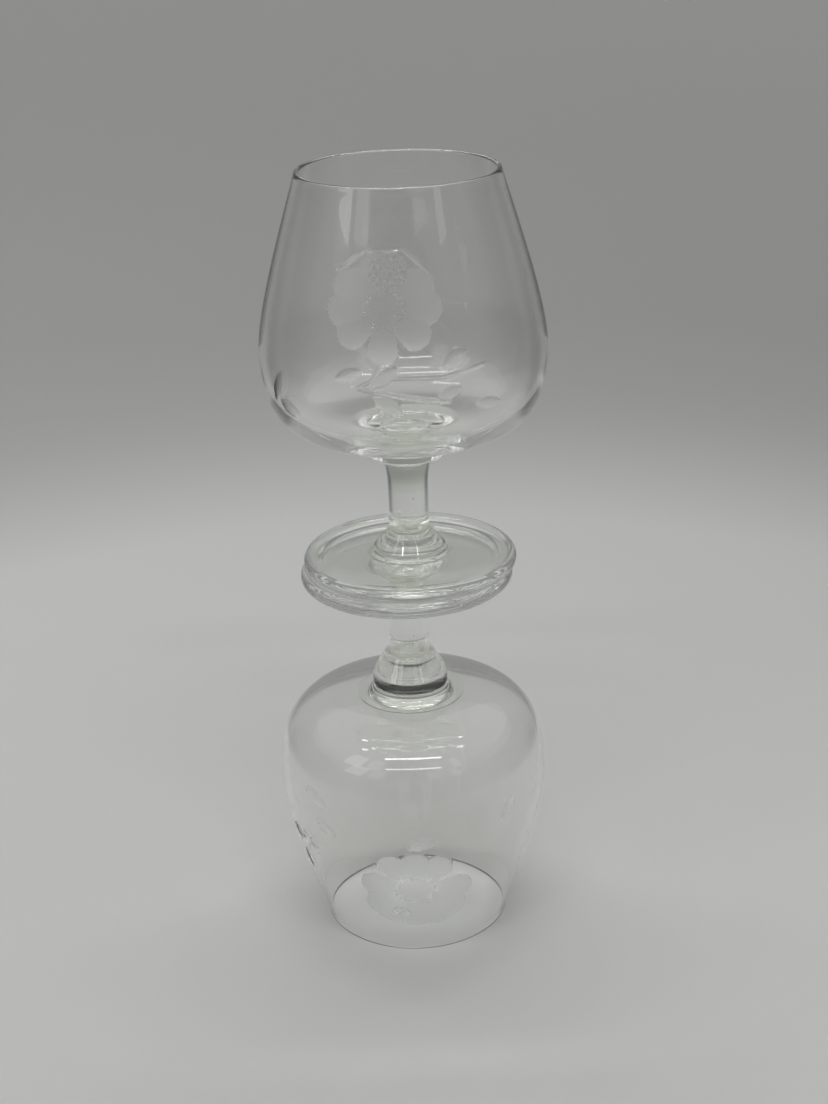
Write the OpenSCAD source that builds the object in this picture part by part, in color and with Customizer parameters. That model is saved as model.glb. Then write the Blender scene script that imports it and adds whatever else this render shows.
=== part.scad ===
// Two matching short-stemmed goblets kept as a stacked pair. The lower one stands upside
// down on its rim, and the upper one stands upright on the lower one's foot.
// Each goblet is a bowl, a solid stem with a stepped collar at both ends, and a disc foot.
// Every piece is turned about the goblet's own axis and meets the next on a flat joint.
// Each goblet is drawn upright with the underside of its foot at z = 0, and then placed.

/* [Goblet] */
// Height of one goblet, from the foot's underside to the rim
glass_h = 120; // [112:0.5:130]
// How far apart the two axes stand, because the upper foot sits a little off centre
axis_offset = 1.2; // [0:0.1:2]

/* [Bowl] */
// Outer radius at the rim
rim_r = 29.2; // [26:0.1:32]
// Outer radius at the widest place
belly_r = 41.9; // [39:0.1:45]
// Height of the widest place
belly_z = 69.5; // [68:0.5:74]
// Lean of the wall at the rim, inwards from upright, in degrees
rim_lean = 15; // [8:1:20]
// Wall thickness at the rim
rim_wall = 1.3; // [1.2:0.1:2]
// Wall thickness at the widest place
belly_wall = 2.4; // [1.6:0.1:3]
// Thickness of the bowl's floor on the axis
floor_wall = 3; // [2.5:0.1:5]
// Rounding of the two edges of the rim
lip_round = 0.4; // [0.2:0.05:0.5]

/* [Stem] */
// Radius of the stem between its collars
stem_r = 6.05; // [5:0.05:7]
// Height of the stem's lower end
stem_low_z = 14; // [13:0.5:16]
// Height of the stem's upper end
stem_high_z = 25; // [22:0.5:28]

/* [Collars] */
// Radius of the collar's spread base, where it meets the foot
foot_collar_r = 13.2; // [12:0.1:14]
// Height of the foot collar's conical step, with its spread base
foot_dome_h = 5.7; // [4.5:0.1:6.5]
// Radius of the collar's spread base, where it meets the bowl
bowl_collar_r = 16.6; // [15.5:0.1:18]
// Height of the lower goblet's bowl collar, up to its cone's top; the pair don't quite match
lower_dome_h = 13.8; // [12:0.1:14.5]
// Height of the upper goblet's bowl collar, up to its cone's top
upper_dome_h = 9.2; // [8.5:0.1:11]

/* [Foot] */
// Radius of the foot
foot_r = 32.3; // [30:0.1:36]
// Thickness of the foot, which has a fully rounded edge
foot_t = 4.8; // [4:0.1:6]
// Depth of the shallow hollow in the foot's underside
hollow_depth = 0.8; // [0.2:0.1:1]
// Radius of that hollow
hollow_r = 27; // [20:0.5:27.5]

/* [Hidden] */

$fn = 128;
glass_colour = [0.80, 0.84, 0.81, 0.5];
stem_colour = [0.72, 0.78, 0.74, 0.6];

bowl_z = 43;                        // height of the bowl's underside
curve_steps = 28;                   // straight pieces in each long curve of the bowl
edge_steps = 8;                     // straight pieces in each small rounding
rim_run = 8;                        // length of nearly straight wall below the rim
belly_rise = 12;                    // how long the wall stays upright above the widest place
belly_drop = 26;                    // and below it
floor_run = 12;                     // how far the underside stays level outside the collar

base_edge_h = 0.3;                  // thickness of a collar's spread base at its rim
foot_spread = 2.3;                  // how far the foot collar's base spreads beyond its cone
bowl_spread = 5;                    // and the bowl collar's
foot_edge_z = 1.6;                  // height of the cone's lower edge, on the foot collar
bowl_edge_z = 7;                    // and on the bowl collar
fillet_h = 4;                       // greatest height of the hollow curve of the spread
ledge_r = 7.5;                      // radius of a cone's top edge
neck_r = 7.1;                       // radius of the neck where it leaves the cone
neck_flare = 0.4;                   // how far the neck stays proud of the stem

// Points along a cubic Bezier curve with control points p
function bezier(p, n) = [
    for (i = [0:n]) let (u = i / n, v = 1 - u)
        v * v * v * p[0] + 3 * v * v * u * p[1] + 3 * v * u * u * p[2] + u * u * u * p[3]
];

// Points along an arc about c, from angle a to angle b
function arc(c, r, a, b, n) = [
    for (i = [0:n]) let (t = a + (b - a) * i / n) c + r * [cos(t), sin(t)]
];

// Centre of the rounding of the rim's outer edge, and of its inner edge
lip_out = [rim_r - lip_round, glass_h - lip_round];
lip_in = [rim_r - rim_wall + lip_round, glass_h - lip_round];

// Half outline of the bowl's outside, from the collar up to the rim
function bowl_outside() = let (
    top = lip_out + lip_round * [cos(rim_lean), sin(rim_lean)],
    down = rim_run * [sin(rim_lean), -cos(rim_lean)]
) concat(
    bezier([[bowl_collar_r, bowl_z], [bowl_collar_r + floor_run, bowl_z],
            [belly_r, belly_z - belly_drop], [belly_r, belly_z]], curve_steps),
    bezier([[belly_r, belly_z], [belly_r, belly_z + belly_rise], top + down, top], curve_steps)
);

// Half outline of the bowl's inside, from the rim down to the axis
function bowl_inside() = let (
    inner_r = belly_r - belly_wall,
    floor_z = bowl_z + floor_wall,
    top = lip_in - lip_round * [cos(rim_lean), sin(rim_lean)],
    down = rim_run * [sin(rim_lean), -cos(rim_lean)]
) concat(
    bezier([top, top + down, [inner_r, belly_z + belly_rise], [inner_r, belly_z]], curve_steps),
    bezier([[inner_r, belly_z], [inner_r, belly_z - belly_drop + belly_wall],
            [bowl_collar_r + floor_run, floor_z], [0, floor_z]], curve_steps)
);

module bowl() {
    color(glass_colour) rotate_extrude() polygon(concat(
        [[0, bowl_z]],
        bowl_outside(),
        arc(lip_out, lip_round, rim_lean, 90, edge_steps),
        arc(lip_in, lip_round, 90, 180 + rim_lean, edge_steps),
        bowl_inside()
    ));
}

// A stepped collar standing on its spread base at z = 0: a hollow curve up from the base, a
// cone from edge_z up to dome_h, and a neck that narrows smoothly into the stem at height h
module collar(base_r, spread, edge_z, dome_h, h) {
    wall_r = base_r - spread;
    fillet_z = min(edge_z - 0.4, fillet_h);
    neck_run = h - dome_h;
    color(stem_colour) rotate_extrude() polygon(concat(
        [[0, 0], [base_r, 0]],
        bezier([[base_r, base_edge_h], [wall_r + 0.6, base_edge_h + 0.1],
                [wall_r, 0.6 * fillet_z], [wall_r, fillet_z]], edge_steps),
        bezier([[wall_r, edge_z - 0.3], [wall_r, edge_z], [wall_r - 0.1, edge_z + 0.25],
                [wall_r - 0.3, edge_z + 0.5]], edge_steps),
        bezier([[ledge_r + 0.4, dome_h - 0.45], [ledge_r + 0.25, dome_h - 0.25],
                [ledge_r + 0.15, dome_h], [ledge_r, dome_h]], edge_steps),
        bezier([[neck_r, dome_h + 0.1], [stem_r + neck_flare, dome_h + neck_run / 3],
                [stem_r, dome_h + neck_run / 2], [stem_r, h]], curve_steps),
        [[0, h]]
    ));
}

module bowl_collar(dome_h) {
    translate([0, 0, bowl_z]) mirror([0, 0, 1])
        collar(bowl_collar_r, bowl_spread, bowl_edge_z, dome_h, bowl_z - stem_high_z);
}

module foot_collar() {
    translate([0, 0, foot_t])
        collar(foot_collar_r, foot_spread, foot_edge_z, foot_dome_h, stem_low_z - foot_t);
}

module stem() {
    color(stem_colour) translate([0, 0, stem_low_z])
        cylinder(r = stem_r, h = stem_high_z - stem_low_z);
}

module foot() {
    edge_r = foot_t / 2;
    color(glass_colour) rotate_extrude() polygon(concat(
        [[0, hollow_depth]],
        bezier([[0, hollow_depth], [hollow_r * 0.6, hollow_depth],
                [hollow_r - 2, hollow_depth], [hollow_r, 0]], curve_steps),
        arc([foot_r - edge_r, edge_r], edge_r, -90, 90, 2 * edge_steps),
        [[0, foot_t]]
    ));
}

// Upright, standing on the lower goblet's foot
module place_upper() {
    translate([axis_offset / 2, 0, glass_h]) children();
}

// Turned over, standing on its rim
module place_lower() {
    translate([-axis_offset / 2, 0, glass_h]) rotate([180, 0, 0]) children();
}

place_lower() bowl();  // lower_bowl
place_lower() bowl_collar(lower_dome_h);  // lower_bowl_collar
place_lower() stem();  // lower_stem
place_lower() foot_collar();  // lower_foot_collar
place_lower() foot();  // lower_foot
place_upper() bowl();  // upper_bowl
place_upper() bowl_collar(upper_dome_h);  // upper_bowl_collar
place_upper() stem();  // upper_stem
place_upper() foot_collar();  // upper_foot_collar
place_upper() foot();  // upper_foot
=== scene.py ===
"""A stacked pair of wheel-engraved goblets: the looks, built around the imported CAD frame.

Each goblet's pieces are turned from the same outlines as the CAD, at the places that the frame
gives. The engraving is real geometry in the outside of each bowl, with a matte mask beside it.
Outlines and engraving are in millimetres and degrees: a height is measured from the underside
of that goblet's own foot, and an azimuth is 0 towards -Y and 90 towards +X.
"""
import math

import bpy
import numpy as np
from mathutils import Matrix, Vector


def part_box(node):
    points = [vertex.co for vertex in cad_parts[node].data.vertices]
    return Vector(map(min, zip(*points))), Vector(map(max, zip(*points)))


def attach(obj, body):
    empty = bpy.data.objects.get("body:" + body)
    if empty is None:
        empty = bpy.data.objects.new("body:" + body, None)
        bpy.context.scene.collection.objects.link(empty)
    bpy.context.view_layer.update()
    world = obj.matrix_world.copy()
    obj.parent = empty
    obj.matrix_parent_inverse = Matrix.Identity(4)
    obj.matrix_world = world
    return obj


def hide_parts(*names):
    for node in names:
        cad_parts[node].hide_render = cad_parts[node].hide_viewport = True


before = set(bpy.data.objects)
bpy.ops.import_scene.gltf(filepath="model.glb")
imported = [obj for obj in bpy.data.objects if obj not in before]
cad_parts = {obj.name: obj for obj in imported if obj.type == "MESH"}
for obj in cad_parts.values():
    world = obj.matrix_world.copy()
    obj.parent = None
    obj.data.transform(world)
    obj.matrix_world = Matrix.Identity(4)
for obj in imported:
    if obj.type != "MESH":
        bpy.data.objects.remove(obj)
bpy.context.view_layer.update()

MM = 0.001

# ---- Dimensions of one goblet, in millimetres -------------------------------------------
RIM_R, RIM_WALL, RIM_LEAN, LIP_ROUND = 29.2, 1.3, math.radians(15), 0.4
BELLY_R, BELLY_Z, BELLY_WALL = 41.9, 69.5, 2.4
BOWL_Z, FLOOR_WALL, GLASS_H = 43.0, 3.0, 120.0
RIM_RUN, BELLY_RISE, BELLY_DROP, FLOOR_RUN = 8.0, 12.0, 26.0, 12.0
STEM_R, STEM_LOW, STEM_HIGH = 6.05, 14.0, 25.0
FOOT_R, FOOT_T, HOLLOW_R, HOLLOW_DEPTH = 32.3, 4.8, 27.0, 0.8
FOOT_COLLAR_R, FOOT_SPREAD, FOOT_EDGE, FOOT_DOME = 13.2, 2.3, 1.6, 5.7
BOWL_COLLAR_R, BOWL_SPREAD, BOWL_EDGE = 16.6, 5.0, 7.0
BOWL_DOME = {"lower": 13.8, "upper": 9.2}
BASE_EDGE, FILLET = 0.3, 4.0
LEDGE_R, NECK_R, NECK_FLARE = 7.5, 7.1, 0.4
HAIR_GAP = 0.01  # left between the two feet, so that light meets glass, air and glass


# ---- Outlines ---------------------------------------------------------------------------
def bezier(p, n):
    """n + 1 points along a cubic Bezier curve."""
    p = np.array(p, float)
    u = np.linspace(0, 1, n + 1)[:, None]
    v = 1 - u
    return v**3 * p[0] + 3 * v * v * u * p[1] + 3 * v * u * u * p[2] + u**3 * p[3]


def arc(centre, r, start, end, n):
    """n + 1 points along an arc, with its angles in radians."""
    t = np.linspace(start, end, n + 1)
    return np.stack([centre[0] + r * np.cos(t), centre[1] + r * np.sin(t)], 1)


def evenly(points, step):
    """The same curve with points about step apart along its length."""
    run = np.concatenate([[0], np.cumsum(np.hypot(*np.diff(points, axis=0).T))])
    at = np.linspace(0, run[-1], max(2, round(run[-1] / step) + 1))
    return np.stack([np.interp(at, run, points[:, i]) for i in (0, 1)], 1)


def bowl_outlines():
    """The bowl's outside below the engraving, its engraved band, its plain top, lip and inside."""
    lean = np.array([math.cos(RIM_LEAN), math.sin(RIM_LEAN)])
    down = RIM_RUN * np.array([math.sin(RIM_LEAN), -math.cos(RIM_LEAN)])
    lip_z = GLASS_H - LIP_ROUND
    out_c, in_c = (RIM_R - LIP_ROUND, lip_z), (RIM_R - RIM_WALL + LIP_ROUND, lip_z)
    out_top = np.array(out_c) + LIP_ROUND * lean
    in_top = np.array(in_c) - LIP_ROUND * lean
    outside = np.vstack([
        bezier([(BOWL_COLLAR_R, BOWL_Z), (BOWL_COLLAR_R + FLOOR_RUN, BOWL_Z),
                (BELLY_R, BELLY_Z - BELLY_DROP), (BELLY_R, BELLY_Z)], 400),
        bezier([(BELLY_R, BELLY_Z), (BELLY_R, BELLY_Z + BELLY_RISE),
                out_top + down, out_top], 400)[1:],
    ])
    inner_r, floor_z = BELLY_R - BELLY_WALL, BOWL_Z + FLOOR_WALL
    inside = np.vstack([
        bezier([in_top, in_top + down, (inner_r, BELLY_Z + BELLY_RISE), (inner_r, BELLY_Z)], 400),
        bezier([(inner_r, BELLY_Z), (inner_r, BELLY_Z - BELLY_DROP + BELLY_WALL),
                (BOWL_COLLAR_R + FLOOR_RUN, floor_z), (0, floor_z)], 400)[1:],
    ])
    low = outside[outside[:, 1] <= BAND[0]]
    band = outside[(outside[:, 1] > BAND[0]) & (outside[:, 1] < BAND[1])]
    top = outside[outside[:, 1] >= BAND[1]]
    lip = np.vstack([arc(out_c, LIP_ROUND, RIM_LEAN, math.pi / 2, 5),
                     arc(in_c, LIP_ROUND, math.pi / 2, math.pi + RIM_LEAN, 6)])
    return low, band, top, lip, inside


def collar_outline(base_r, spread, edge_z, dome_h, h):
    """From the spread base's edge at height 0 to the stem at height h."""
    wall_r, run = base_r - spread, h - dome_h
    fillet_z = min(edge_z - 0.4, FILLET)
    return np.vstack([
        [(base_r, 0)],
        bezier([(base_r, BASE_EDGE), (wall_r + 0.6, BASE_EDGE + 0.1),
                (wall_r, 0.6 * fillet_z), (wall_r, fillet_z)], 12),
        bezier([(wall_r, edge_z - 0.3), (wall_r, edge_z), (wall_r - 0.1, edge_z + 0.25),
                (wall_r - 0.3, edge_z + 0.5)], 8),
        bezier([(LEDGE_R + 0.4, dome_h - 0.45), (LEDGE_R + 0.25, dome_h - 0.25),
                (LEDGE_R + 0.15, dome_h), (LEDGE_R, dome_h)], 8),
        bezier([(NECK_R, dome_h + 0.1), (STEM_R + NECK_FLARE, dome_h + run / 3),
                (STEM_R, dome_h + run / 2), (STEM_R, h)], 20),
    ])


def foot_outline(lift):
    """From the axis underneath, round the edge, to the collar's base ring on top."""
    edge = FOOT_T / 2
    under = bezier([(0, HOLLOW_DEPTH), (HOLLOW_R * 0.6, HOLLOW_DEPTH),
                    (HOLLOW_R - 2, HOLLOW_DEPTH), (HOLLOW_R, 0)], 32)
    rim = arc((FOOT_R - edge, edge), edge, -math.pi / 2, math.pi / 2, 32)
    top = np.stack([np.linspace(FOOT_R - edge, FOOT_COLLAR_R, 12)[1:], np.full(11, FOOT_T)], 1)
    out = np.vstack([under, rim, top])
    out[:, 1] = np.maximum(out[:, 1], lift)
    return out


# ---- Engraving --------------------------------------------------------------------------
BAND = (54.0, 113.0)  # heights between which the outside is fine enough to be engraved
FINE = (-78, 56)      # azimuths between which it is finest
FINE_STEP, PLAIN_STEP, ROW_STEP = 0.5, 1.3, 0.38


class Wall:
    """Depth and matte mask over the engraved band, on a grid of heights by azimuths."""

    def __init__(self, band, azimuths):
        self.z = band[:, 1][:, None]
        self.r = band[:, 0][:, None]
        self.run = np.concatenate([[0], np.cumsum(np.hypot(*np.diff(band, axis=0).T))])[:, None]
        self.az = azimuths[None, :]
        shape = (len(band), len(azimuths))
        self.depth = np.zeros(shape)
        self.matte = np.zeros(shape)

    def local(self, azimuth, z):
        """Millimetres to the right of and above a place on the wall, over the whole grid."""
        turn = (self.az - azimuth + 180) % 360 - 180
        run0 = np.interp(z, self.z[:, 0], self.run[:, 0])
        return np.radians(turn) * self.r, (self.run - run0) * np.ones_like(turn)

    def cut(self, depth, matte):
        self.depth = np.maximum(self.depth, depth)
        self.matte = np.maximum(self.matte, matte * (depth > 0.012))

    def leaf(self, a, b, width, depth=0.28, matte=1.0):
        """A pointed lens-shaped cut from a to b, each an azimuth and a height."""
        mid = ((a[0] + b[0]) / 2, (a[1] + b[1]) / 2)
        u, v = self.local(*mid)
        r = np.interp(mid[1], self.z[:, 0], self.r[:, 0])
        du, dv = math.radians(b[0] - a[0]) * r, b[1] - a[1]
        length = math.hypot(du, dv)
        along = (u * du + v * dv) / length
        across = (v * du - u * dv) / length
        taper = 1 - (2 * along / length) ** 2
        half = np.maximum(width / 2 * taper, 1e-6)
        inside = (taper > 0) & (np.abs(across) < half)
        self.cut(np.where(inside, depth * taper**0.5 * (1 - (across / half) ** 2), 0), matte)

    def stalk(self, points, width=0.9, depth=0.16, matte=0.6):
        """A fine groove through a few points, each an azimuth and a height."""
        for a, b in zip(points, points[1:]):
            u, v = self.local(*a)
            r = np.interp((a[1] + b[1]) / 2, self.z[:, 0], self.r[:, 0])
            du, dv = math.radians(b[0] - a[0]) * r, b[1] - a[1]
            t = np.clip((u * du + v * dv) / (du * du + dv * dv), 0, 1)
            gap = np.hypot(u - t * du, v - t * dv)
            self.cut(depth * np.clip(1 - (2 * gap / width) ** 2, 0, None), matte)

    def petal(self, base, tip, radius, depth):
        """A blunt petal ground deepest and most matte at its tip, fading out towards its base."""
        u, v = self.local(*base)
        r = np.interp(base[1], self.z[:, 0], self.r[:, 0])
        du, dv = math.radians(tip[0] - base[0]) * r, tip[1] - base[1]
        t = np.clip((u * du + v * dv) / (du * du + dv * dv), 0, 1)
        gap = np.hypot(u - t * du, v - t * dv) / (radius * (0.45 + 0.55 * t))
        fade = 0.25 + 0.75 * t
        self.cut(depth * fade * np.clip(1 - gap**2, 0, None) ** 0.7, 0.4 + 0.6 * t)

    def hatch(self, azimuth, z, width, height, pitch=1.8, slope=0.62):
        """An oval of crossed grooves, which leave raised diamonds between them."""
        u, v = self.local(azimuth, z)
        oval = np.hypot(u / width, v / height) < 1
        waves = [np.abs((u * s + v * slope) / pitch % 1 - 0.5) * 2 for s in (-1, 1)]
        groove = np.maximum(*waves) ** 3
        self.depth = np.where(oval, 0.04 + 0.24 * groove, self.depth)
        self.matte = np.where(oval, 0.25 + 0.75 * groove, self.matte)

    def facet(self, a, b, width=1.2, depth=0.3):
        """A straight polished cut."""
        u, v = self.local(*a)
        r = np.interp((a[1] + b[1]) / 2, self.z[:, 0], self.r[:, 0])
        du, dv = math.radians(b[0] - a[0]) * r, b[1] - a[1]
        t = np.clip((u * du + v * dv) / (du * du + dv * dv), 0, 1)
        gap = np.hypot(u - t * du, v - t * dv)
        near = gap < width / 2
        self.depth = np.where(near, depth * (1 - (2 * gap / width) ** 2), self.depth)
        self.matte = np.where(near, 0, self.matte)

    def flower(self, heart, petals, eye, edge, depth):
        """Blunt petals round a heart, a hatched eye, and straight cuts over it if edge has any.

        A petal is an azimuth, a height and a radius; the eye is a place, then its half size.
        """
        keep = (self.depth.copy(), self.matte.copy())
        for azimuth, z, radius in petals:
            self.petal(heart, (azimuth, z), radius, depth)
        if edge:
            above = np.interp(self.az[0], [p[0] for p in edge], [p[1] for p in edge], 0, 0)
            past = (self.z > above[None, :]) & (above[None, :] > 0)
            self.depth = np.where(past, keep[0], self.depth)
            self.matte = np.where(past, keep[1], self.matte)
        self.hatch(*eye)
        for a, b in zip(edge, edge[1:]):
            self.facet(a, b)


def engrave_upper(wall):
    wall.flower(
        (-7, 90),
        ((-8, 79, 4.3), (-21, 83, 4.4), (5, 83, 4.6), (-24, 89, 5.2), (9, 89.5, 5),
         (-21, 95, 5.5), (5, 95, 5.5), (-8, 99, 7)),
        (-6, 99, 5.2, 4.8),
        [(-27.5, 99.5), (-17.5, 104.5), (1, 105), (12, 98.5)],
        0.2,
    )
    wall.stalk([(-8, 76), (-12, 71), (-18, 68.5), (0, 66.2), (17, 64)])
    wall.stalk([(-4, 71.5), (14, 71), (31, 73)])
    for a, b, width in (
        ((-54, 69.5), (-62, 59.5), 4.4), ((-58, 60.5), (-46, 57.5), 4.6),
        ((-12, 66), (-1, 61), 5.0), ((12, 65.5), (22, 67.5), 3.6),
        ((27, 62.5), (40, 61), 3.4), ((14, 73.5), (24.5, 77.5), 4.4),
        ((-27, 70.5), (-16, 73.5), 3.4), ((-13, 69), (-2, 74.5), 4.0),
    ):
        wall.leaf(a, b, width)


def engrave_lower(wall):
    wall.flower(
        (-1, 93),
        ((-1, 82.5, 5), (-12, 83, 4.5), (10, 83.5, 4.5), (-20, 91.5, 5), (19, 93, 5),
         (-17, 99.5, 5.5), (14, 100, 6), (-11, 103, 5), (0, 104, 6), (9, 103, 6)),
        (-9, 103, 3, 2.4),
        [],
        0.12,
    )
    wall.stalk([(17, 61), (21, 66), (24.5, 72.5)], 0.8)
    for a, b, width in (
        ((-53, 62), (-39.5, 66.5), 4.4), ((-47, 71), (-35.5, 75.5), 4.2),
        ((-70, 80.5), (-65, 86.5), 4.0), ((-66.5, 89), (-65, 97.5), 3.2),
        ((46, 65.5), (39, 72), 4.2), ((-4, 76), (9, 73.5), 3.6),
    ):
        wall.leaf(a, b, width)
    for a, b in (((-59, 80), (-50, 86)), ((-58, 86), (-52, 80)), ((-61, 83), (-49, 83.5))):
        wall.stalk([a, b], 0.9, 0.2)


# ---- Turned meshes ----------------------------------------------------------------------
def angles(count):
    return np.linspace(FINE[0], FINE[0] + 360, count, endpoint=False)


def fine_angles():
    """Azimuths for the engraved band: close together in front, further apart behind."""
    front = np.arange(FINE[0], FINE[1], FINE_STEP)
    back = np.linspace(FINE[1], FINE[0] + 360, round((FINE[0] + 360 - FINE[1]) / PLAIN_STEP),
                       endpoint=False)
    return np.concatenate([front, back])


class Turning:
    """A closed mesh turned about a goblet's axis, ring by ring, in millimetres."""

    def __init__(self, goblet):
        self.goblet = goblet
        self.points, self.faces, self.kind, self.matte = [], [], [], []
        self.last = None

    def place(self, r, z, azimuth):
        a = np.radians(azimuth)
        r = np.broadcast_to(r, a.shape)
        z = np.broadcast_to(z, a.shape)
        x, y = r * np.sin(a), -r * np.cos(a)
        g = self.goblet
        return np.stack([g.x + x * MM, g.y + y * MM, g.foot_z + g.up * z * MM], 1)

    def pole(self, z, kind=0):
        """A single point on the axis, where the mesh starts or ends."""
        first = len(self.points)
        self.points.extend(self.place(np.zeros(1), z, np.zeros(1)))
        self.matte.append(0.0)
        self._join((first, None), kind)

    def ring(self, r, z, azimuth, kind=0, matte=None):
        """A ring of points, joined to the one before by faces of the material number kind."""
        first = len(self.points)
        self.points.extend(self.place(r, z, azimuth))
        self.matte.extend(np.zeros(len(azimuth)) if matte is None else matte)
        self._join((first, azimuth), kind)

    def _join(self, new, kind):
        old, self.last = self.last, new
        if old is None:
            return
        (f0, a0), (f1, a1) = old, new
        made = []
        if a0 is None or a1 is None:
            around = len(a1 if a0 is None else a0)
            for j in range(around):
                k = (j + 1) % around
                made.append((f0, f1 + k, f1 + j) if a0 is None else (f0 + j, f0 + k, f1))
        elif len(a0) == len(a1):
            for j in range(len(a0)):
                k = (j + 1) % len(a0)
                made.append((f0 + j, f0 + k, f1 + k, f1 + j))
        else:
            made = zip_rings(f0, a0, f1, a1)
        self.faces.extend(made)
        self.kind.extend([kind] * len(made))

    def bubble(self, r, z, azimuth, size):
        """A small round seed of air inside the glass."""
        centre = self.place(np.array([r]), z, np.array([azimuth]))[0]
        first, rows, around = len(self.points), 8, 12
        for i in range(1, rows):
            for j in range(around):
                t, p = math.pi * i / rows, 2 * math.pi * j / around
                self.points.append(centre + size * MM * np.array(
                    [math.sin(t) * math.cos(p), math.sin(t) * math.sin(p), 1.6 * math.cos(t)]))
        top, bottom = len(self.points), len(self.points) + 1
        for end in (1.6, -1.6):
            self.points.append(centre + size * MM * np.array([0, 0, end]))
        self.matte.extend([0.0] * (len(self.points) - first))
        inward = []
        for j in range(around):
            k = (j + 1) % around
            inward.append((top, first + k, first + j))
            base = first + (rows - 2) * around
            inward.append((bottom, base + j, base + k))
            for i in range(rows - 2):
                a = first + i * around
                inward.append((a + j, a + k, a + around + k, a + around + j))
        if self.goblet.up < 0:
            inward = [f[::-1] for f in inward]  # turned back with all the others in finish
        self.faces.extend(inward)
        self.kind.extend([0] * len(inward))

    def finish(self, name, node, materials):
        """Makes the Blender object, on its body and in place of its CAD node."""
        faces = self.faces if self.goblet.up > 0 else [f[::-1] for f in self.faces]
        mesh = bpy.data.meshes.new(name)
        mesh.from_pydata(np.array(self.points), [], faces)
        for m in materials:
            mesh.materials.append(m)
        mesh.polygons.foreach_set("material_index", self.kind)
        mesh.polygons.foreach_set("use_smooth", np.ones(len(faces), bool))
        layer = mesh.attributes.new("matte", "FLOAT", "POINT")
        layer.data.foreach_set("value", np.array(self.matte, np.float32))
        mesh.update()
        mesh.set_sharp_from_angle(angle=math.radians(50))
        obj = bpy.data.objects.new(name, mesh)
        bpy.context.scene.collection.objects.link(obj)
        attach(obj, self.goblet.body)
        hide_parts(node)
        return obj


def zip_rings(f0, a0, f1, a1):
    """Triangles between two rings with different numbers of points."""
    base = min(a0[0], a1[0])
    t0 = np.append((a0 - base), (a0[0] - base) + 360)
    t1 = np.append((a1 - base), (a1[0] - base) + 360)
    i = j = 0
    made = []
    while i < len(a0) or j < len(a1):
        step0 = t0[i + 1] if i < len(a0) else 1e9
        step1 = t1[j + 1] if j < len(a1) else 1e9
        p, q = f0 + i % len(a0), f1 + j % len(a1)
        if step0 <= step1:
            i += 1
            made.append((p, f0 + i % len(a0), q))
        else:
            j += 1
            made.append((p, f1 + j % len(a1), q))
    return made


# ---- Pieces -----------------------------------------------------------------------------
AROUND = 192  # points around a plain ring


class Goblet:
    """Where one goblet stands, from the frame: its axis, its foot's underside and its way up."""

    def __init__(self, name, engrave):
        lo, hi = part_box(f"{name}_bowl")
        foot_lo, foot_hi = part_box(f"{name}_foot")
        self.name, self.engrave = name, engrave
        self.body = f"{name}_goblet"
        self.x, self.y = (lo[0] + hi[0]) / 2, (foot_lo[1] + foot_hi[1]) / 2
        self.up = 1 if lo[2] > foot_lo[2] else -1
        self.foot_z = foot_lo[2] if self.up > 0 else foot_hi[2]


def fused_disc(turning, r, z):
    """A flat joint across the axis, where the glass runs on into the next piece."""
    turning.pole(z)
    turning.ring(r, z, angles(AROUND), FUSED)


def make_bowl(g, materials):
    low, band, top, lip, inside = bowl_outlines()
    band = evenly(band, ROW_STEP)
    fine = fine_angles()
    wall = Wall(band, fine)
    g.engrave(wall)
    slope = np.gradient(band, axis=0)
    slope /= np.hypot(*slope.T)[:, None]
    t = Turning(g)
    fused_disc(t, BOWL_COLLAR_R, BOWL_Z)
    for r, z in evenly(low, 1.5)[1:]:
        t.ring(r, z, angles(AROUND))
    for (r, z), (dr, dz), depth, matte in zip(band, slope, wall.depth, wall.matte):
        t.ring(r - dz * depth, z + dr * depth, fine, 0, matte)
    for r, z in evenly(top, 1.2)[1:-1]:
        t.ring(r, z, fine)
    for r, z in lip:
        t.ring(r, z, fine)
    for r, z in evenly(inside, 1.7)[1:-1]:
        t.ring(r, z, angles(AROUND))
    t.pole(inside[-1][1])
    return t.finish(f"{g.name}_bowl_glass", f"{g.name}_bowl", materials)


def make_collar(g, which, base_z, way, base_r, spread, edge_z, dome_h, h, materials):
    t = Turning(g)
    outline = collar_outline(base_r, spread, edge_z, dome_h, h) * [1, way] + [0, base_z]
    if way < 0:
        outline = outline[::-1]
    fused_disc(t, outline[0][0], outline[0][1])
    for r, z in outline[1:]:
        t.ring(r, z, angles(AROUND))
    t.pole(outline[-1][1], FUSED)
    return t.finish(f"{g.name}_{which}_glass", f"{g.name}_{which}", materials)


def make_stem(g, materials):
    t = Turning(g)
    fused_disc(t, STEM_R, STEM_LOW)
    for z in np.linspace(STEM_LOW, STEM_HIGH, 12)[1:]:
        t.ring(STEM_R, z, angles(AROUND))
    t.pole(STEM_HIGH, FUSED)
    t.bubble(2.4, STEM_LOW + 3.2, -60, 0.28)
    t.bubble(3.6, STEM_HIGH - 2.5, 20, 0.2)
    return t.finish(f"{g.name}_stem_glass", f"{g.name}_stem", materials)


def make_foot(g, materials):
    t = Turning(g)
    outline = foot_outline(HAIR_GAP if g.up > 0 else 0)
    t.pole(outline[0][1])
    for r, z in outline[1:]:
        t.ring(r, z, angles(AROUND))
    t.pole(FOOT_T, FUSED)
    return t.finish(f"{g.name}_foot_glass", f"{g.name}_foot", materials)


# ---- Materials --------------------------------------------------------------------------
FUSED = 1  # the second material of every piece: glass that runs on through a joint


def new_material(name):
    m = bpy.data.materials.new(name)
    m.use_nodes = True
    return m, m.node_tree.nodes["Principled BSDF"]


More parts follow.
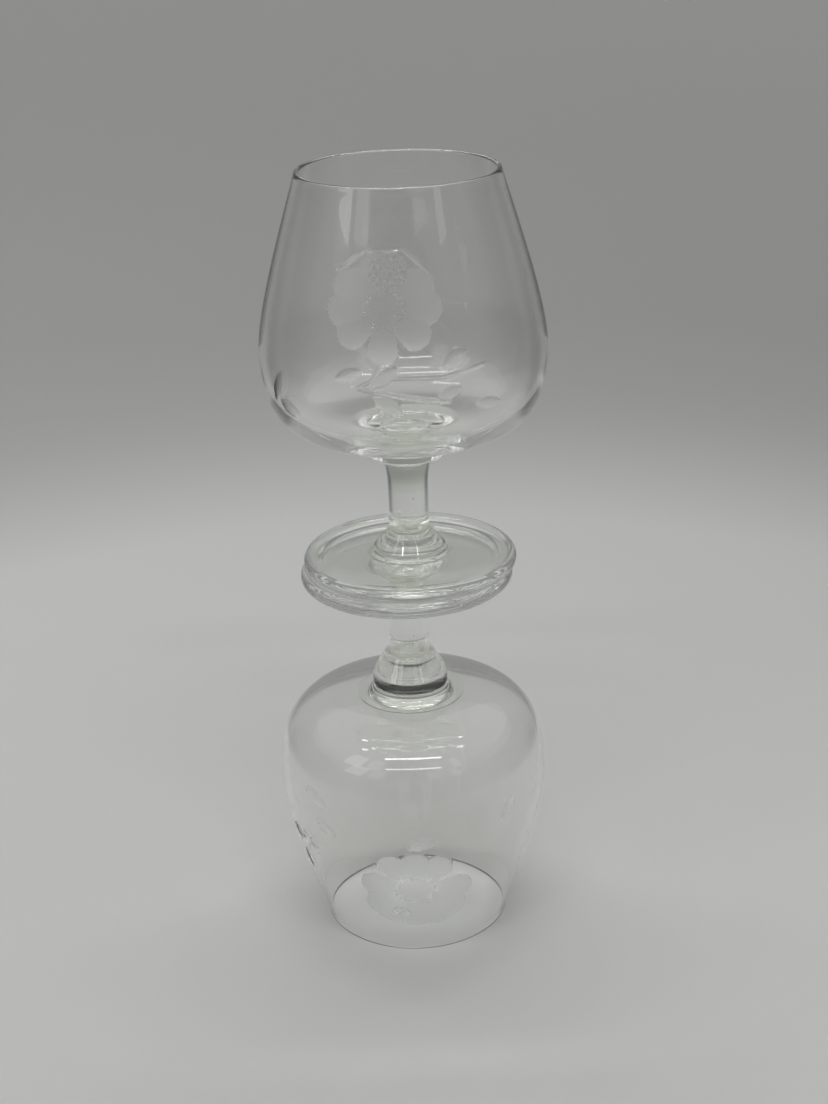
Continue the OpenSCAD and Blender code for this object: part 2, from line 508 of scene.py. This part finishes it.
def clear_glass(name, tint):
    """Polished soda-lime glass."""
    m, bsdf = new_material(name)
    bsdf.inputs["Base Color"].default_value = (*tint, 1)
    bsdf.inputs["Roughness"].default_value = 0.0
    bsdf.inputs["IOR"].default_value = 1.5
    bsdf.inputs["Transmission Weight"].default_value = 1.0
    return m


def engraved_glass(name, tint):
    """The same glass, ground matte where the matte mask says."""
    m, bsdf = new_material(name)
    nodes, links = m.node_tree.nodes, m.node_tree.links
    bsdf.inputs["Base Color"].default_value = (*tint, 1)
    bsdf.inputs["IOR"].default_value = 1.5
    mask = nodes.new("ShaderNodeAttribute")
    mask.attribute_name = "matte"
    place = nodes.new("ShaderNodeTexCoord")
    grain = nodes.new("ShaderNodeTexNoise")
    grain.inputs["Scale"].default_value = 1400
    grain.inputs["Detail"].default_value = 3
    links.new(place.outputs["Object"], grain.inputs["Vector"])
    rough = nodes.new("ShaderNodeMapRange")
    rough.inputs["To Max"].default_value = 0.4
    links.new(mask.outputs["Fac"], rough.inputs["Value"])
    vary = nodes.new("ShaderNodeMath")
    vary.operation = "MULTIPLY_ADD"
    vary.inputs[1].default_value = 0.5
    vary.inputs[2].default_value = 0.75
    links.new(grain.outputs["Fac"], vary.inputs[0])
    both = nodes.new("ShaderNodeMath")
    both.operation = "MULTIPLY"
    links.new(rough.outputs["Result"], both.inputs[0])
    links.new(vary.outputs[0], both.inputs[1])
    links.new(both.outputs[0], bsdf.inputs["Roughness"])
    through = nodes.new("ShaderNodeMapRange")
    through.inputs["To Min"].default_value = 1.0
    through.inputs["To Max"].default_value = 0.97
    links.new(mask.outputs["Fac"], through.inputs["Value"])
    links.new(through.outputs["Result"], bsdf.inputs["Transmission Weight"])
    return m


def fused_glass():
    """A joint inside the glass, which isn't seen."""
    m, bsdf = new_material("fused_joint")
    bsdf.inputs["Alpha"].default_value = 0.0
    return m


def paper(name):
    """Matt paper, coloured point by point from the mesh, with painted light and painted shade in
    that colour.
    """
    m, bsdf = new_material(name)
    paper_tone_and_painted_light = m.node_tree.nodes.new("ShaderNodeAttribute")
    paper_tone_and_painted_light.attribute_name = "paper_tone_and_painted_light"
    m.node_tree.links.new(paper_tone_and_painted_light.outputs["Color"], bsdf.inputs["Base Color"])
    bsdf.inputs["Roughness"].default_value = 1.0
    bsdf.inputs["Specular IOR Level"].default_value = 0.0
    return m


def lamp_panel(name, strength):
    m = bpy.data.materials.new(name)
    m.use_nodes = True
    tree = m.node_tree
    tree.nodes.remove(tree.nodes["Principled BSDF"])
    glow = tree.nodes.new("ShaderNodeEmission")
    glow.inputs["Strength"].default_value = strength
    tree.links.new(glow.outputs[0], tree.nodes["Material Output"].inputs["Surface"])
    return m


# ---- Stage ------------------------------------------------------------------------------
def smooth_step(low, high, x):
    u = np.clip((x - low) / (high - low), 0, 1)
    return u * u * (3 - 2 * u)


def make_sweep(axis_x):
    """A floor that curves up into a wall all round, round the lower goblet's axis.

    Its colour has painted light and shade in it: a pale painted pool of light inside the lower
    rim, a thin dark painted contact shadow under that rim, and a sector of painted shade at each
    side, towards the back, which the glass's edges pick up.
    """
    flat_r, bend, wall_z, around = 0.50, 0.35, 0.62, 180
    # radii of the painted pool of light inside the lower rim and of the painted contact shadow
    # under that rim
    painted_pool_r, contact_shadow_in_r, contact_shadow_out_r, contact_shadow_end_r = 0.0277, 0.0280, 0.0289, 0.0293
    near = np.array([0.0265, painted_pool_r, contact_shadow_in_r, contact_shadow_out_r, contact_shadow_end_r, 0.0320])
    flat = np.concatenate([near, np.linspace(0.045, flat_r, 40)])
    outline = np.vstack([
        np.stack([flat, 0 * flat], 1),
        arc((flat_r, bend), bend, -math.pi / 2, 0, 32)[1:],
        np.stack([np.full(12, flat_r + bend), np.linspace(bend, wall_z, 13)[1:]], 1),
    ])
    turn = np.radians(np.linspace(0, 360, around, endpoint=False))
    r, z = outline[:, :1], outline[:, 1:] + 0 * turn
    ring = np.stack([r * np.sin(turn), -r * np.cos(turn), z], 2).reshape(-1, 3)
    points = np.vstack([[(0, 0, 0)], ring])
    faces = [(0, 1 + j, 1 + (j + 1) % around) for j in range(around)]
    for i in range(len(outline) - 1):
        for j in range(around):
            k, a = (j + 1) % around, 1 + i * around
            faces.append((a + j, a + around + j, a + around + k, a + k))
    far = np.hypot(points[:, 0], points[:, 1])
    facing = points[:, 1] / np.maximum(far, 0.01)
    # painted light and shade: a pale painted pool of light inside the lower rim, a dark painted
    # contact shadow under it, and painted shade darkening the paper towards and up the wall
    paper_tone_and_painted_light = np.interp(far, (painted_pool_r, contact_shadow_in_r, contact_shadow_out_r, contact_shadow_end_r,
                           0.22, 0.34, 0.44, 0.55, 0.63, 0.80),
                     (0.62, 0.12, 0.12, 0.52, 0.55, 0.58, 0.50, 0.43, 0.40, 0.41))
    # painted light: a little lighter up the wall
    paper_tone_and_painted_light += 0.05 * smooth_step(0.1, 0.3, points[:, 2])
    # painted shade: a dark sector at each side, towards the back, for the glass's edges to pick up
    sides = smooth_step(0.80, 0.60, facing) * smooth_step(-0.3, 0.0, facing)
    paper_tone_and_painted_light *= 1 - 0.65 * sides * smooth_step(0.24, 0.42, far)
    # painted light and shade: low at the back, darker towards +X and lighter towards -X
    painted_slant_shade = smooth_step(0, 0.25, points[:, 1]) * smooth_step(0.2, 0, points[:, 2])
    paper_tone_and_painted_light *= 1 - 0.25 * np.clip(points[:, 0], -0.25, 0.25) * painted_slant_shade
    mesh = bpy.data.meshes.new("sweep")
    mesh.from_pydata(points + [axis_x, 0, 0], [], faces)
    mesh.materials.append(paper("sweep_paper_painted_light"))
    # the per-point colour, with the painted light and shade in it
    layer = mesh.attributes.new("paper_tone_and_painted_light", "FLOAT_COLOR", "POINT")
    colour = np.stack([paper_tone_and_painted_light, paper_tone_and_painted_light, paper_tone_and_painted_light * 0.99, np.ones_like(paper_tone_and_painted_light)], 1)
    layer.data.foreach_set("color", colour.astype(np.float32).ravel())
    mesh.polygons.foreach_set("use_smooth", np.ones(len(faces), bool))
    obj = bpy.data.objects.new("sweep", mesh)
    bpy.context.scene.collection.objects.link(obj)
    return obj


def make_front_panels():
    """Bright panels high in front, on both sides of a dark gap, for the upper bowl to reflect."""
    dark, bsdf = new_material("gap_black")
    bsdf.inputs["Base Color"].default_value = (0.02, 0.02, 0.02, 1)
    bsdf.inputs["Roughness"].default_value = 1.0
    r = 0.80
    for n, (left, right, low, high, strength) in enumerate(
            ((-68, -50, 0.47, 0.95, 2.6), (-45, -31, 0.49, 0.95, 1.4), (-28, 13, 0.53, 1.15, 0),
             (15, 28, 0.53, 0.95, 1.0), (38, 46, 0.49, 0.95, 1.6))):
        corners = []
        for azimuth, z in ((left, low), (right, low), (right, high), (left, high)):
            a = math.radians(azimuth)
            corners.append((r * math.sin(a), -r * math.cos(a), z))
        mesh = bpy.data.meshes.new(f"front_panel_{n}")
        mesh.from_pydata(corners, [], [(0, 1, 2, 3)])
        mesh.materials.append(lamp_panel(f"panel_glow_{n}", strength) if strength else dark)
        obj = bpy.data.objects.new(f"front_panel_{n}", mesh)
        bpy.context.scene.collection.objects.link(obj)


def area_light(name, place, target, size, power):
    data = bpy.data.lights.new(name, "AREA")
    data.shape = "RECTANGLE"
    data.size, data.size_y = size
    data.energy = power
    obj = bpy.data.objects.new(name, data)
    obj.location = place
    obj.rotation_mode = "QUATERNION"
    obj.rotation_quaternion = (Vector(target) - Vector(place)).to_track_quat("-Z", "Y")
    bpy.context.scene.collection.objects.link(obj)
    return obj


def make_light(centre):
    area_light("front_strip", (0, -0.43, 0.80), centre, (0.60, 0.045), 1.7)
    area_light("back_strip", (0, 0.19, 0.80), centre, (0.60, 0.045), 1.7)
    world = bpy.data.worlds.new("studio")
    world.use_nodes = True
    world.node_tree.nodes["Background"].inputs["Color"].default_value = (1, 1, 1, 1)
    world.node_tree.nodes["Background"].inputs["Strength"].default_value = 0.62
    bpy.context.scene.world = world


def make_camera(axis_x):
    """A short tele lens a little above the rim, looking down, and rolled slightly."""
    distance, height, lens_mm = 0.5058, 0.335, 58.78
    yaw, pitch, roll = math.radians(0.27), math.radians(22.69), math.radians(1.84)
    forward = Vector((math.sin(yaw) * math.cos(pitch), math.cos(yaw) * math.cos(pitch),
                      -math.sin(pitch)))
    right = Vector((math.cos(yaw), -math.sin(yaw), 0))
    up = right.cross(forward)
    tilted_right = right * math.cos(roll) - up * math.sin(roll)
    tilted_up = right * math.sin(roll) + up * math.cos(roll)
    turn = Matrix((tilted_right, tilted_up, -forward)).transposed().to_4x4()
    data = bpy.data.cameras.new("camera")
    data.sensor_width = 36
    data.lens = lens_mm
    obj = bpy.data.objects.new("camera", data)
    obj.matrix_world = Matrix.Translation((axis_x, -distance, height)) @ turn
    bpy.context.scene.collection.objects.link(obj)
    bpy.context.scene.camera = obj


# ---- The scene --------------------------------------------------------------------------
goblets = [Goblet("lower", engrave_lower), Goblet("upper", engrave_upper)]
fused = fused_glass()
bowl_materials = [engraved_glass("engraved_glass", (0.975, 0.98, 0.965)), fused]
collar_materials = [clear_glass("collar_glass", (0.88, 0.905, 0.835)), fused]
stem_materials = [clear_glass("stem_glass", (0.95, 0.965, 0.94)), fused]
foot_materials = [clear_glass("foot_glass", (0.935, 0.95, 0.92)), fused]

for goblet in goblets:
    make_bowl(goblet, bowl_materials)
    make_collar(goblet, "bowl_collar", BOWL_Z, -1, BOWL_COLLAR_R, BOWL_SPREAD, BOWL_EDGE,
                BOWL_DOME[goblet.name], BOWL_Z - STEM_HIGH, collar_materials)
    make_stem(goblet, stem_materials)
    make_collar(goblet, "foot_collar", FOOT_T, 1, FOOT_COLLAR_R, FOOT_SPREAD, FOOT_EDGE,
                FOOT_DOME, STEM_LOW - FOOT_T, collar_materials)
    make_foot(goblet, foot_materials)

make_sweep(goblets[0].x)
make_front_panels()
make_light(Vector((0, 0, 0.12)))
make_camera(goblets[0].x)

scene = bpy.context.scene
scene.view_settings.view_transform = "Standard"
scene.cycles.max_bounces = 32
scene.cycles.glossy_bounces = 32
scene.cycles.transmission_bounces = 32
scene.cycles.transparent_max_bounces = 32
scene.cycles.blur_glossy = 0
